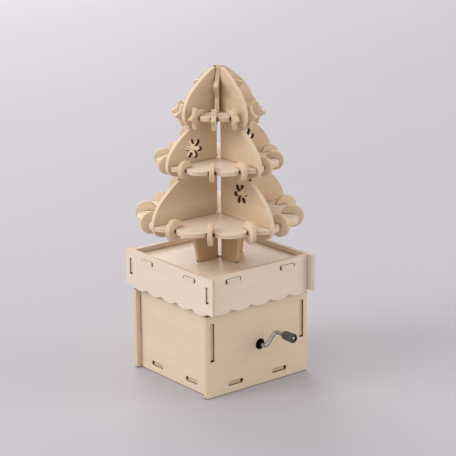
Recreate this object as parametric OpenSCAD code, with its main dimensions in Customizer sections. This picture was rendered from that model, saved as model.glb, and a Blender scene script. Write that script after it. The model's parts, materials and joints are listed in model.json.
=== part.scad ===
// Hand-cranked music box in slotted plywood, with a three-tier tree on its lift-off lid.
// Origin: the middle of the whole part's footprint, on the surface that it stands on.
// +X runs to the right along the crank face, +Y to the back, +Z up. Millimetres.

/* [Plywood] */
// Thickness of the sheet that every flat piece is cut from
ply = 3; // [2.6:0.1:3.4]
// Extra width of a slot over the sheet that fills it
play = 0.1; // [0.06:0.02:0.2]

/* [Box] */
// Width of the front and back panels, ears included
front_w = 92; // [90:0.5:96]
// How far each ear stands out past a side panel
ear_w = 4.1; // [2:0.1:6]
// Depth of the box over its front and back panels
box_d = 84.8; // [82:0.2:88]
// Height of the ears on the front and back panels
ear_h = 60.2; // [40:0.2:60.2]
// Height of the underside of the bottom panel
bottom_z = 5.6; // [3:0.1:8]
// Length of each slot that a bottom panel tenon shows in
bottom_slot_l = 13.2; // [8:0.2:18]
// Distance of those slots from the middle of each panel
bottom_slot_x = 20; // [14:0.5:24]
// How far the bottom and side panels' tenons end inside the front panel's face
tenon_in = 0.9; // [0:0.1:1.2]
// Lower end of the tall side panel tenons
side_tenon_z = 27.8; // [16:0.2:36]
// Length of the tall side panel tenons
side_tenon_l = 26.8; // [12:0.2:28]

/* [Lid] */
// Width of the lid over its left and right flanges
lid_w = 92.5; // [92.5:0.1:93]
// Depth of the lid over its front and back flanges
lid_d = 91.4; // [91.4:0.1:92]
// Length of the left and right flanges
flange_l = 100; // [96:1:106]
// Height of the top edge of the flanges
lid_top = 89; // [88:0.5:92]
// Depth of the lid plate below the top edge of the flanges
recess = 3.7; // [3.7:0.1:4]
// Height of the cusps between the scallops
cusp_z = 62.9; // [62.9:0.1:66]
// How far each scallop hangs below the cusps
scallop_drop = 2.3; // [1:0.1:2.3]
// Scallops on each flange
scallops = 5; // [3:1:7]
// Distance of the lid plate's tenons from the middle of each flange
lid_tenon_x = 24.4; // [18:0.2:30]
// Length of the slots for the lid plate's tenons
lid_slot_l = 13.6; // [8:0.2:18]
// How far the lid plate's tenons stand proud of the flanges
lid_tenon_out = 0.8; // [0:0.1:1.5]

/* [Tree] */
// Heights of the top faces of the bottom, middle and top tier plates
tier_z = [118.5, 158.5, 192.5];
// Radius of the wings at each tier
wing_r = [59, 46, 31];
// Sharpness of the curve of each bell
bell_curve = [0.0263, 0.0327, 0.0265];
// Height of the top end of each bell
bell_end = [148.8, 183, 221];
// How far each bell's rounded foot hangs below its tier plate
foot_drop = [6, 4, 5.3];
// Length of each bell's rounded foot
foot_l = [9, 6, 6];
// Distance of the lobes' centres from the tree's axis, for each tier plate
lobe_d = [45.3, 34.2, 20];
// Radius of the lobes on the rim of each tier plate
lobe_r = [13.3, 10, 6.5];
// Gap from the tree's axis to the inner edge of each wing
axis_gap = 3.8; // [3.75:0.05:4.2]
// Radius of the uncut middle of the tier plates
hub_r = 8; // [7:0.5:8]
// Half width of the trunk at the lid
trunk_r = 19.8; // [17:0.2:21]
// Length of a wing's tenon in the lid, from the tree's axis
trunk_tenon_r = 16; // [12:0.5:16.5]
// Radius of the snowflake cut-outs
snow_r = 7.4; // [5:0.1:7.5]

/* [Ornaments] */
// Ornaments on each tier
ornaments = 12; // [12]
// Distance of the ornaments' centres from the tree's axis
ornament_d = [52, 39, 25];
// Diameter of the discs on the bottom and middle tiers
disc_dia = [16, 13.5];
// Radius of the small stars on the top tier, before their points are rounded
star_r = 9; // [8:0.5:9.5]
// Radius of the two crossed stars at the top, before their points are rounded
topper_r = 20; // [18:0.5:20]
// Height of the centre of the crossed stars above the top tier plate
topper_h = 14.2; // [14:0.1:15]

/* [Crank] */
// Sideways place of the crank's axis
crank_x = 2.2; // [0:0.2:4]
// Height of the crank's axis
crank_z = 30.3; // [28:0.1:34]
// Diameter of the hole in the front panel
crank_hole = 8; // [6:0.5:10]
// Diameter of the crank's steel rod
rod_dia = 3; // [2.5:0.1:3]
// Throw of the crank
crank_r = 12.7; // [10:0.1:15]
// Angle of the arm above level, at rest
crank_angle = 46; // [0:1:90]
// Distance of the arm's middle in front of the front panel
arm_out = 6.6; // [5:0.1:10]
// Length of the knob
knob_l = 11.3; // [9:0.1:14]
// Diameter of the knob at its outer end
knob_dia = 6.8; // [5.5:0.1:8]

/* [Movement] */
// Teeth on the drum's wheel, so turns of the crank for one turn of the drum
wheel_teeth = 20; // [20]
// Distance along the worm from one thread to the next
worm_lead = 2.5; // [2.5]
// Radius of the drum
drum_r = 6.5; // [5:0.1:6.6]
// Length of the drum
drum_l = 20; // [16:0.5:21]
// Teeth on the comb
comb_teeth = 18; // [12:1:20]

/* [Hidden] */
$fn = 48;

// Colours of the sheet and of the metal
wood = "BurlyWood";
inner_wood = "Tan";
steel = "Silver";
brass = "Goldenrod";
zinc = "DarkGray";
black_plastic = "DimGray";

// Small clearances
eps = 0.05;
cut = 1;
slot_w = ply + play;
run_fit = 0.05;
seat_gap = 0.1;

// Box
side_out = front_w / 2 - ear_w;
side_in = side_out - ply;
front_out = box_d / 2;
front_in = front_out - ply;
lid_z = lid_top - recess;
lid_under = lid_z - ply;
wall_top = lid_under - seat_gap;
bottom_top = bottom_z + ply;
corner_r = 1.5;
side_tenon_in = 0.6;
slot_h = ply + 0.4;
slot_corner_r = 1.2;
tenon_slack = 2.3;
tenon_shift = 0.55;
side_slot_loose = 0.4;
side_slot_long = 1.1;

// Lid
flange_out = lid_w / 2;
flange_in = flange_out - ply;
face_out = lid_d / 2;
face_in = face_out - ply;
flange_tenon_z = 71.8;
flange_tenon_l = 10.8;
flange_tenon_in = 0.8;
scallop_run = 2 * flange_in;
lid_tenon_slack = 1.65;
lid_tenon_shift = 0.28;

// Tree
bell_z = [for (z = tier_z) z - 0.6];
arch_z = bell_z[0] - foot_drop[0] - 2.4;
arch_in = 22.6;
arch_out = 41;
trunk_bend_z = 103;
apex_z = 223.4;
snow_bulb_r = 1.8;
snow_waist = 1.15;
snow_arms = 6;
snow_turn = 10;
snow_middle = [[23.5, 168.5], [26, 137.2]];
quadrant_turn = 360 / ornaments;
notch_back = [3, 3, 3];
slot_short = 0.7;
star_inner = 0.47;
star_round = 1;
topper_inner = 0.5;
topper_round = 1.5;
topper_tab_r = 10.8;
topper_tab_w = 3;
topper_tab_up = 1.2;

// Crank
rod_r = rod_dia / 2;
arm_y = -front_out - arm_out;
bend_r = 3;
pin_r = 0.8;
pin_run = 8.3;
knob_start = arm_y - pin_run;
knob_end = knob_start - knob_l;
knob_neck_r = 2.2;
knob_neck_l = 1.9;
knob_step = 0.2;
knob_cup_r = knob_dia / 2 - 0.8;
knob_cup_d = 1.1;
retainer_r = 1.2;
retainer_t = 0.8;
retainer_y = knob_end + knob_cup_d - 0.1;
retainer_cap = 0.2;

// How far the tree's axis stands behind the middle of the footprint, which takes in the knob
axis_y = -(knob_end + wing_r[0]) / 2;

// Movement
drum_y = -22;
shelf_top = 20.5;
shelf_x = 34;
shelf_back = 20;
leg_x = 24;
leg_tenon_l = 16;
leg_tenon_y = [-26, 8];
bed_t = 3;
bed_top = shelf_top + bed_t;
bed_x = [-8, 32];
bed_y = [-37.5, 9];
worm_pitch_r = 3;
worm_swing = 0.8;
worm_l = 12.5;
wheel_pitch_r = wheel_teeth * worm_lead / (2 * PI);
wheel_t = 1.6;
drum_z = crank_z + worm_pitch_r + wheel_pitch_r;
drum_x = crank_x + 3.4;
arbor_r = 1.5;
bearing_t = 3;
front_bearing_y = -35.5;
rear_bearing_y = -12.5;
left_bearing_x = -5.4;
right_bearing_x = drum_x + drum_l + 1.4;
bearing_w = 9;
comb_t = 1.4;
comb_tip_gap = 1.2;
comb_front = drum_y + drum_r + comb_tip_gap;
comb_tooth_l = 10;
comb_l = 20;
comb_x = drum_x + 0.5;
comb_w = drum_l - 1;
comb_rest_y = comb_front + comb_tooth_l + 1;
screw_r = 1.2;
screw_head_r = 2.2;
screw_head_h = 1.3;

// ---------------------------------------------------------------- shared shapes

// Moves what is drawn about the tree's axis so that the whole footprint is centred
module centred() {
    translate([0, axis_y, 0]) children();
}

// A flat piece standing across Y: its outline is drawn in X and Z, its front face is at y
module upright(y, t = ply) {
    translate([0, y + t, 0]) rotate([90, 0, 0]) linear_extrude(t) children();
}

// A flat piece standing across X: its outline is drawn in Y and Z, its left face is at x
module sideways(x, t = ply) {
    translate([x, 0, 0]) rotate([90, 0, 90]) linear_extrude(t) children();
}

// A slot outline with round corners, l long and w high, centred on [x, z]
module rounded_bar(x, z, l, w, r) {
    translate([x, z]) {
        square([l - 2 * r, w], center = true);
        if (w > 2 * r) square([l, w - 2 * r], center = true);
        for (sx = [-1, 1], sz = [-1, 1]) translate([sx * (l / 2 - r), sz * (w / 2 - r)]) circle(r);
    }
}

// A rectangle between two corners
module area(a, b) {
    translate(a) square(b - a);
}

// ---------------------------------------------------------------- box

// The tenons that the bottom panel pushes through one pair of walls, loose at one end
module bottom_tenons(reach, shift) {
    for (s = [-1, 1]) translate([s * bottom_slot_x + shift, 0])
        square([bottom_slot_l - tenon_slack, 2 * reach], center = true);
}

module bottom_panel() {
    color(inner_wood) centred() difference() {
        translate([0, 0, bottom_z]) linear_extrude(ply) {
            square([2 * side_in - 2 * eps, 2 * front_in - 2 * eps], center = true);
            bottom_tenons(front_out - tenon_in, -tenon_shift);
            rotate(90) bottom_tenons(side_out - side_tenon_in, -tenon_shift);
        }
        shelf_leg_cuts(bottom_z);
    }
}

// Outline of the front and back panels, with their ears and every slot
module end_panel_outline() {
    difference() {
        union() {
            translate([-side_out, corner_r]) square([2 * side_out, wall_top - corner_r]);
            translate([-front_w / 2, corner_r]) square([front_w, ear_h - corner_r]);
            translate([-front_w / 2 + corner_r, 0]) square([front_w - 2 * corner_r, ear_h]);
            for (s = [-1, 1]) translate([s * (front_w / 2 - corner_r), corner_r]) circle(corner_r);
        }
        for (s = [-1, 1]) {
            rounded_bar(s * bottom_slot_x, bottom_z + ply / 2, bottom_slot_l, slot_h, slot_corner_r);
            translate([s * (side_in + side_out) / 2 + s * side_slot_loose / 2, side_tenon_z - side_slot_long])
                translate([-(slot_w + side_slot_loose) / 2, 0])
                    square([slot_w + side_slot_loose, side_tenon_l + side_slot_long + play]);
        }
    }
}

module front_panel() {
    color(wood) centred() upright(-front_out) difference() {
        end_panel_outline();
        translate([crank_x, crank_z]) circle(d = crank_hole);
    }
}

module back_panel() {
    color(wood) centred() upright(front_in) end_panel_outline();
}

// Outline of the left and right panels, with their tall tenons
module side_panel_outline() {
    difference() {
        union() {
            area([-front_in + eps, 0], [front_in - eps, wall_top]);
            area([-front_out + tenon_in, side_tenon_z],
                [front_out - tenon_in, side_tenon_z + side_tenon_l]);
        }
        for (s = [-1, 1])
            rounded_bar(s * bottom_slot_x, bottom_z + ply / 2, bottom_slot_l, slot_h, slot_corner_r);
    }
}

module left_panel() {
    color(wood) centred() sideways(-side_out) side_panel_outline();
}

module right_panel() {
    color(wood) centred() sideways(side_in) side_panel_outline();
}

// ---------------------------------------------------------------- shelf for the movement

// The slots that the shelf legs' tenons go through, in a sheet whose underside is at z
module shelf_leg_cuts(z) {
    for (s = [-1, 1], y = leg_tenon_y)
        translate([s * leg_x - slot_w / 2, y - play / 2, z - cut])
            cube([slot_w, leg_tenon_l + play, ply + 2 * cut]);
}

module movement_shelf() {
    color(inner_wood) centred() difference() {
        translate([-shelf_x, -front_in + 0.4, shelf_top - ply])
            cube([2 * shelf_x, front_in - 0.4 + shelf_back + 8, ply]);
        shelf_leg_cuts(shelf_top - ply);
        for (p = bed_screw_places()) translate([p[0], p[1], shelf_top - ply - cut])
            cylinder(r = screw_r + run_fit, h = ply + 2 * cut);
    }
}

// One leg, with a pair of tenons into the bottom panel and a pair into the shelf
module shelf_leg(x) {
    color(inner_wood) centred() sideways(x - ply / 2) {
        area([leg_tenon_y[0] - 4, bottom_top], [leg_tenon_y[1] + leg_tenon_l + 2, shelf_top - ply]);
        for (y = leg_tenon_y) area([y, bottom_z], [y + leg_tenon_l, shelf_top]);
    }
}

module left_shelf_leg() {
    shelf_leg(-leg_x);
}

module right_shelf_leg() {
    shelf_leg(leg_x);
}

// ---------------------------------------------------------------- movement

function bed_screw_places() = [for (x = [bed_x[0] + 3, bed_x[1] - 3], y = [bed_y[0] + 3, bed_y[1] - 3])
    [x, y]];

function comb_screw_places() = [for (s = [-1, 1]) [comb_x + comb_w / 2 + s * comb_w / 3.4,
    comb_rest_y + 4.5]];

module bedplate() {
    color(zinc) centred() difference() {
        translate([bed_x[0], bed_y[0], shelf_top])
            cube([bed_x[1] - bed_x[0], bed_y[1] - bed_y[0], bed_t]);
        for (p = bed_screw_places()) translate([p[0], p[1], shelf_top - cut])
            cylinder(r = screw_r + run_fit, h = bed_t + 2 * cut);
    }
}

// A round-headed screw whose head sits on the face at z
module screw(p, z, depth) {
    translate([p[0], p[1], z - depth]) cylinder(r = screw_r, h = depth + eps);
    translate([p[0], p[1], z]) difference() {
        cylinder(r = screw_head_r, h = screw_head_h);
        translate([-screw_head_r - cut, -0.3, screw_head_h - 0.6])
            cube([2 * screw_head_r + 2 * cut, 0.6, cut]);
    }
}

module bedplate_screws() {
    color(steel) centred() for (p = bed_screw_places()) screw(p, bed_top, bed_t + ply - 0.4);
}

// A bearing plate across Y for the crank's rod, with its front face at y
module crank_bearing(y) {
    color(zinc) centred() upright(y, bearing_t) difference() {
        union() {
            area([crank_x - bearing_w / 2, bed_top], [crank_x + bearing_w / 2, crank_z]);
            translate([crank_x, crank_z]) circle(d = bearing_w);
        }
        translate([crank_x, crank_z]) circle(rod_r + run_fit);
    }
}

module front_crank_bearing() {
    crank_bearing(front_bearing_y);
}

module rear_crank_bearing() {
    crank_bearing(rear_bearing_y);
}

// A bearing post across X for the drum's arbor, with its left face at x
module drum_bearing(x, t) {
    color(zinc) centred() sideways(x, t) difference() {
        union() {
            area([drum_y - bearing_w / 2, bed_top], [drum_y + bearing_w / 2, drum_z]);
            translate([drum_y, drum_z]) circle(d = bearing_w);
        }
        translate([drum_y, drum_z]) circle(arbor_r + run_fit);
    }
}

module left_drum_bearing() {
    drum_bearing(left_bearing_x, bearing_t);
}

module right_drum_bearing() {
    drum_bearing(right_bearing_x, bearing_t);
}

module comb_rest() {
    color(zinc) centred() difference() {
        translate([comb_x - 0.5, comb_rest_y, bed_top])
            cube([comb_w + 1, comb_l - comb_tooth_l - 1, drum_z - comb_t / 2 - bed_top]);
        for (p = comb_screw_places()) translate([p[0], p[1], drum_z - 8])
            cylinder(r = screw_r + run_fit, h = 12);
    }
}

// The steel comb: one plate with its teeth cut between slits, shorter tooth by tooth
module comb() {
    pitch = comb_w / comb_teeth;
    color(steel) centred() difference() {
        translate([comb_x, comb_front, drum_z - comb_t / 2]) cube([comb_w, comb_l, comb_t]);
        for (i = [1 : comb_teeth - 1])
            translate([comb_x + i * pitch - 0.12, comb_front - cut, drum_z - comb_t])
                cube([0.24, cut + comb_tooth_l - 4 * i / comb_teeth, 2 * comb_t]);
        for (p = comb_screw_places()) translate([p[0], p[1], drum_z - comb_t])
            cylinder(r = screw_r + run_fit, h = 2 * comb_t);
    }
}

module comb_screws() {
    color(steel) centred() for (p = comb_screw_places()) screw(p, drum_z + comb_t / 2, comb_t + 5);
}

// ---------------------------------------------------------------- crank

// Places its children on the crank's axis, with +X along the arm and +Y to the back
module on_crank() {
    translate([crank_x, 0, crank_z]) rotate([0, -crank_angle, 0]) children();
}

// A round bar along -Y, from y = a in to y = b out
module bar(r, a, b) {
    translate([0, a, 0]) rotate([90, 0, 0]) cylinder(r = r, h = a - b);
}

// A quarter bend of the rod, in the plane of X and Y
module rod_bend() {
    rotate_extrude(angle = 90) translate([bend_r, 0]) circle(rod_r);
}

module crank_rod() {
    inner_end = rear_bearing_y + bearing_t + 1.5;
    color(steel) centred() on_crank() {
        bar(rod_r, inner_end, arm_y + bend_r);
        translate([bend_r, arm_y + bend_r, 0]) rotate(180) rod_bend();
        translate([bend_r, arm_y, 0]) rotate([0, 90, 0]) cylinder(r = rod_r, h = crank_r - 2 * bend_r);
        translate([crank_r - bend_r, arm_y - bend_r, 0]) rod_bend();
        translate([crank_r, 0, 0]) bar(rod_r, arm_y - bend_r, knob_start + eps);
        translate([crank_r, 0, 0]) bar(pin_r, knob_start + 1, retainer_y - retainer_t + retainer_cap + 0.02);
    }
}

// The worm: a round bar swung off its axis and twisted, one start, valley up at the wheel
module crank_worm() {
    turns = worm_l / worm_lead;
    start = [crank_x, drum_y + worm_l / 2, crank_z];
    color(steel) centred() translate(start) rotate([90, 0, 0]) difference() {
        rotate(-90 + turns * 180) linear_extrude(worm_l, twist = turns * 360, slices = round(turns * 18))
            translate([worm_swing, 0]) circle(worm_pitch_r, $fn = 24);
        translate([0, 0, -cut]) cylinder(r = rod_r + eps, h = worm_l + 2 * cut);
    }
}

module knob_retainer() {
    color(steel) centred() on_crank() translate([crank_r, retainer_y, 0]) rotate([90, 0, 0]) difference() {
        cylinder(r = retainer_r, h = retainer_t);
        translate([0, 0, -cut]) cylinder(r = pin_r + 0.01, h = cut + retainer_t - retainer_cap);
    }
}

module crank_knob() {
    color(black_plastic) centred() on_crank() translate([crank_r, knob_start, 0]) rotate([90, 0, 0])
        rotate_extrude() polygon([[pin_r + run_fit, 0], [knob_neck_r - 0.2, 0], [knob_neck_r, 0.2],
            [knob_dia / 2 - knob_step, knob_neck_l], [knob_dia / 2, knob_l - 0.7],
            [knob_dia / 2 - 0.4, knob_l], [knob_cup_r, knob_l],
            [knob_cup_r, knob_l - knob_cup_d], [pin_r + run_fit, knob_l - knob_cup_d]]);
}

// ---------------------------------------------------------------- drum

// Places its children with +Z along the drum's axis, which is +X
module on_drum(x) {
    translate([x, drum_y, drum_z]) rotate([90, 0, 90]) children();
}

module drum_arbor() {
    start = left_bearing_x - 1;
    color(steel) centred() on_drum(start) cylinder(r = arbor_r, h = right_bearing_x + bearing_t + 1 - start);
}

// The drum, with two pins for each tooth of the comb
module tune_drum() {
    pitch = comb_w / comb_teeth;
    color(brass) centred() on_drum(drum_x) difference() {
        union() {
            cylinder(r = drum_r, h = drum_l);
            for (i = [0 : comb_teeth - 1], k = [0, 1])
                translate([0, 0, comb_x - drum_x + (i + 0.5) * pitch])
                    rotate((i * 137 + k * (120 + 11 * i)) % 360) rotate([0, 90, 0])
                        cylinder(r = 0.25, h = drum_r + 0.8, $fn = 16);
        }
        translate([0, 0, -cut]) cylinder(r = arbor_r + eps / 2, h = drum_l + 2 * cut);
    }
}

// One tooth of the wheel, pointing along +X, narrow enough to run in the worm's valley
function tooth(a) = [for (p = [[-3.8, -0.8], [-1.2, -0.8], [-0.4, -0.58], [0, -0.38], [0.5, -0.14],
        [0.5, 0.14], [0, 0.38], [-0.4, 0.58], [-1.2, 0.8], [-3.8, 0.8]])
    [(wheel_pitch_r + p[0]) * cos(a) - p[1] * sin(a), (wheel_pitch_r + p[0]) * sin(a) + p[1] * cos(a)]];

module drum_wheel() {
    root_r = wheel_pitch_r - 1.2;
    color(brass) centred() on_drum(crank_x - wheel_t / 2) difference() {
        union() {
            linear_extrude(wheel_t) {
                circle(root_r);
                for (i = [0 : wheel_teeth - 1]) polygon(tooth(-90 + i * 360 / wheel_teeth));
            }
            cylinder(r = arbor_r + 1.5, h = drum_x - crank_x + wheel_t / 2 - eps);
        }
        translate([0, 0, -cut]) cylinder(r = arbor_r + eps / 2, h = drum_l);
    }
}

// ---------------------------------------------------------------- lid

// The plate that carries the tree, with two tenons through each flange
module lid_plate() {
    color(wood) centred() difference() {
        translate([0, 0, lid_under]) linear_extrude(ply) {
            square([2 * flange_in - 2 * eps, 2 * face_in - 2 * eps], center = true);
            for (s = [-1, 1]) {
                lid_tenon(s * lid_tenon_x + lid_tenon_shift, face_out + lid_tenon_out);
                rotate(90) lid_tenon(s * lid_tenon_x + lid_tenon_shift, flange_out + lid_tenon_out);
            }
        }
        for (a = [0, 90]) rotate(a) translate([0, 0, lid_under + ply / 2])
            cube([2 * trunk_tenon_r + play, slot_w, ply + 2 * cut], center = true);
    }
}

// One pair of tenons with rounded corners, reaching out to both sides
module lid_tenon(x, reach) {
    l = lid_slot_l - lid_tenon_slack;
    translate([x, 0]) {
        square([l, 2 * reach - 2 * corner_r], center = true);
        square([l - 2 * corner_r, 2 * reach], center = true);
        for (sx = [-1, 1], sy = [-1, 1])
            translate([sx * (l / 2 - corner_r), sy * (reach - corner_r)]) circle(corner_r);
    }
}

// A strip from the scallops up to the top of the lid, l long
module flange_outline(l) {
    pitch = scallop_run / scallops;
    bow_r = (pitch * pitch / 4 + scallop_drop * scallop_drop) / (2 * scallop_drop);
    difference() {
        union() {
            area([-l / 2, cusp_z], [l / 2, lid_top]);
            intersection() {
                for (i = [0 : scallops - 1])
                    translate([-scallop_run / 2 + (i + 0.5) * pitch, cusp_z - scallop_drop + bow_r])
                        circle(bow_r, $fn = 96);
                area([-l / 2, cusp_z - scallop_drop - cut], [l / 2, cusp_z + 1]);
            }
        }
        for (s = [-1, 1])
            rounded_bar(s * lid_tenon_x, lid_under + ply / 2, lid_slot_l, slot_h, slot_corner_r);
    }
}

// The front and back flanges fit between the side flanges and tenon through them
module face_flange_outline() {
    flange_outline(2 * flange_in - 2 * eps);
    reach = flange_out - flange_tenon_in;
    for (s = [-1, 1]) area([s > 0 ? flange_in - 1 : -reach, flange_tenon_z],
        [s > 0 ? reach : -flange_in + 1, flange_tenon_z + flange_tenon_l]);
}

module front_flange() {
    color(wood) centred() upright(-face_out) face_flange_outline();
}

module back_flange() {
    color(wood) centred() upright(face_in) face_flange_outline();
}

// The side flanges run past the corners and take the tenons of the other two
module side_flange_outline() {
    difference() {
        flange_outline(flange_l);
        for (s = [-1, 1])
            translate([s * (face_in + face_out) / 2 - slot_w / 2, flange_tenon_z - side_slot_long])
                square([slot_w, flange_tenon_l + side_slot_long + play]);
    }
}

module left_flange() {
    color(wood) centred() sideways(-flange_out) side_flange_outline();
}

module right_flange() {
    color(wood) centred() sideways(flange_in) side_flange_outline();
}

// ---------------------------------------------------------------- tree

// The bell of one tier from its widest place up, as [radius, height]
function bell(i) = [for (k = [0 : 14]) let (h = (bell_end[i] - bell_z[i]) * k / 14)
    [wing_r[i] - bell_curve[i] * h * h, bell_z[i] + h]];

// The rounded foot of one tier, from its underside out to its widest place
function foot(i) = [for (k = [0 : 7]) let (a = 90 * k / 8)
    [wing_r[i] - foot_l[i] * (1 - sin(a)), bell_z[i] - (foot_drop[i] + 2.4) * cos(a)]];

// The arch between the trunk and the bottom tier's foot
function arch() = [for (k = [0 : 12]) let (a = 180 - 15 * k)
    [(arch_in + arch_out) / 2 + (arch_out - arch_in) / 2 * cos(a),
        arch_z + (tier_z[0] - ply - arch_z) * sin(a)]];

// The notch in a wing's inner edge for one tier plate
function hub_notch(i) = [[axis_gap, tier_z[i] + eps], [hub_r + eps, tier_z[i] + eps],
    [hub_r + eps, tier_z[i] - ply - eps], [axis_gap, tier_z[i] - ply - eps]];

// One wing, from its tenon in the lid to the apex, as [distance from the axis, height]
function wing_outline() = concat(
    [[axis_gap, lid_under], [trunk_tenon_r, lid_under], [trunk_tenon_r, lid_z + eps],
        [trunk_r, lid_z + eps], [arch_in, trunk_bend_z]],
    arch(), foot(0), bell(0), foot(1), bell(1), foot(2), bell(2),
    [[6, apex_z - 0.7], [axis_gap, apex_z]], hub_notch(2), hub_notch(1), hub_notch(0));

// A six-armed snowflake whose arms widen to round ends
module snowflake(middle) {
    reach = snow_r - snow_bulb_r;
    translate(middle) for (a = [0 : 360 / snow_arms : 359]) rotate(a + snow_turn) {
        polygon([[0, -snow_waist], [reach, -snow_bulb_r], [reach, snow_bulb_r], [0, snow_waist]]);
        translate([reach, 0]) circle(snow_bulb_r, $fn = 32);
    }
}

// A wing turned to its place, with a snowflake cut in the middle or the bottom tier
module wing(turn, snow) {
    color(wood) centred() rotate(turn) translate([0, ply / 2, 0]) rotate([90, 0, 0]) linear_extrude(ply)
        difference() {
            polygon(wing_outline());
            snowflake(snow_middle[snow]);
        }
}

module right_wing() {
    wing(0, 0);
}

module back_wing() {
    wing(90, 1);
}

module left_wing() {
    wing(180, 0);
}

module front_wing() {
    wing(270, 1);
}

// A lobed tier plate, slotted for the wings and notched for the ornaments
module tier_plate(i) {
    color(wood) centred() translate([0, 0, tier_z[i] - ply]) difference() {
        linear_extrude(ply) {
            circle(lobe_d[i]);
            for (a = [0 : quadrant_turn : 359]) rotate(a) translate([lobe_d[i], 0]) circle(lobe_r[i]);
        }
        for (a = [0 : 90 : 359]) rotate(a) translate([hub_r, -slot_w / 2, -cut])
            cube([lobe_d[i] + lobe_r[i], slot_w, ply + 2 * cut]);
        for (a = [0 : quadrant_turn : 359]) rotate(a + quadrant_turn / 2)
            translate([ornament_d[i] - notch_back[i], -slot_w / 2, -cut])
                cube([lobe_r[i], slot_w, ply + 2 * cut]);
        if (i == 2) for (a = [45 : 90 : 359]) rotate(a)
            translate([topper_tab_r - topper_tab_w / 2 - eps, -slot_w / 2, -cut])
                cube([topper_tab_w + 2 * eps, slot_w, ply + 2 * cut]);
    }
}

module bottom_tier() {
    tier_plate(0);
}

module middle_tier() {
    tier_plate(1);
}

module top_tier() {
    tier_plate(2);
}

// A five-pointed star with rounded points, one of them along +X
function star_outline(r, inner, round_r) =
    let (lean = atan2(inner * sin(36), r - inner * cos(36)), c = r - round_r / sin(lean))
    [for (k = [0 : 4], j = [-2 : 3]) let (a = 72 * k)
        j < 3 ? [c * cos(a) + round_r * cos(a + j * (90 - lean) / 2),
            c * sin(a) + round_r * sin(a + j * (90 - lean) / 2)]
        : [inner * cos(a + 36), inner * sin(a + 36)]];

// One of the two crossed stars, slotted from above (up = 1) or from below (up = -1)
module topper_star(turn, up) {
    middle = tier_z[2] + topper_h;
    color(wood) centred() rotate(turn) translate([0, ply / 2, 0]) rotate([90, 0, 0]) linear_extrude(ply)
        difference() {
            union() {
                difference() {
                    translate([0, middle]) rotate(90)
                        polygon(star_outline(topper_r, topper_r * topper_inner, topper_round));
                    area([-topper_r, tier_z[2] - topper_r], [topper_r, tier_z[2] + eps]);
                }
                for (s = [-1, 1]) area([s * topper_tab_r - topper_tab_w / 2, tier_z[2] - ply],
                    [s * topper_tab_r + topper_tab_w / 2, tier_z[2] + topper_tab_up]);
            }
            area([-slot_w / 2, up > 0 ? middle : middle - topper_r], [slot_w / 2,
                up > 0 ? middle + topper_r : middle]);
        }
}

module topper_star_across() {
    topper_star(-45, 1);
}

module topper_star_along() {
    topper_star(45, -1);
}

// ---------------------------------------------------------------- ornaments

// Stands its children's outline on the rim of tier i at angle a, slotted onto the plate
module on_rim(i, a) {
    rotate(a) translate([0, ply / 2, 0]) rotate([90, 0, 0]) linear_extrude(ply) difference() {
        translate([ornament_d[i], tier_z[i] - ply / 2]) children();
        area([0, tier_z[i] - ply - eps], [ornament_d[i] - slot_short, tier_z[i] + eps]);
    }
}

// The three discs in one quadrant of the bottom (i = 0) or middle (i = 1) tier
module discs(i, quadrant) {
    color(wood) centred() for (k = [-1 : 1]) on_rim(i, quadrant + k * quadrant_turn) circle(d = disc_dia[i]);
}

// The three small stars in one quadrant of the top tier
module stars(quadrant) {
    color(wood) centred() for (k = [-1 : 1]) on_rim(2, quadrant + k * quadrant_turn)
        polygon(star_outline(star_r, star_r * star_inner, star_round));
}

bottom_panel();
front_panel();
back_panel();
left_panel();
right_panel();
movement_shelf();
left_shelf_leg();
right_shelf_leg();
bedplate();
bedplate_screws();
front_crank_bearing();
rear_crank_bearing();
left_drum_bearing();
right_drum_bearing();
comb_rest();
comb();
comb_screws();
crank_rod();
crank_worm();
knob_retainer();
crank_knob();
drum_arbor();
tune_drum();
drum_wheel();
lid_plate();
front_flange();
back_flange();
left_flange();
right_flange();
left_wing();
front_wing();
right_wing();
back_wing();
bottom_tier();
middle_tier();
top_tier();
topper_star_across();
topper_star_along();
discs(0, 225);  // bottom_discs_front_left
discs(0, 315);  // bottom_discs_front_right
discs(0, 45);  // bottom_discs_back_right
discs(0, 135);  // bottom_discs_back_left
discs(1, 225);  // middle_discs_front_left
discs(1, 315);  // middle_discs_front_right
discs(1, 45);  // middle_discs_back_right
discs(1, 135);  // middle_discs_back_left
stars(225);  // top_stars_front_left
stars(315);  // top_stars_front_right
stars(45);  // top_stars_back_right
stars(135);  // top_stars_back_left
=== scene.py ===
"""Looks for a hand-cranked music box in slotted plywood, with a tiered tree on its lid.

Everything is in metres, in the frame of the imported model: the box stands on z = 0 with its
crank face towards -Y, and the middle of the whole footprint is over the origin.
"""

import json
import logging
import math
import random
from dataclasses import dataclass, field, replace
from enum import Enum
from typing import Any, Iterable, Sequence

import bmesh
import bpy
from mathutils import Matrix, Vector

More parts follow.
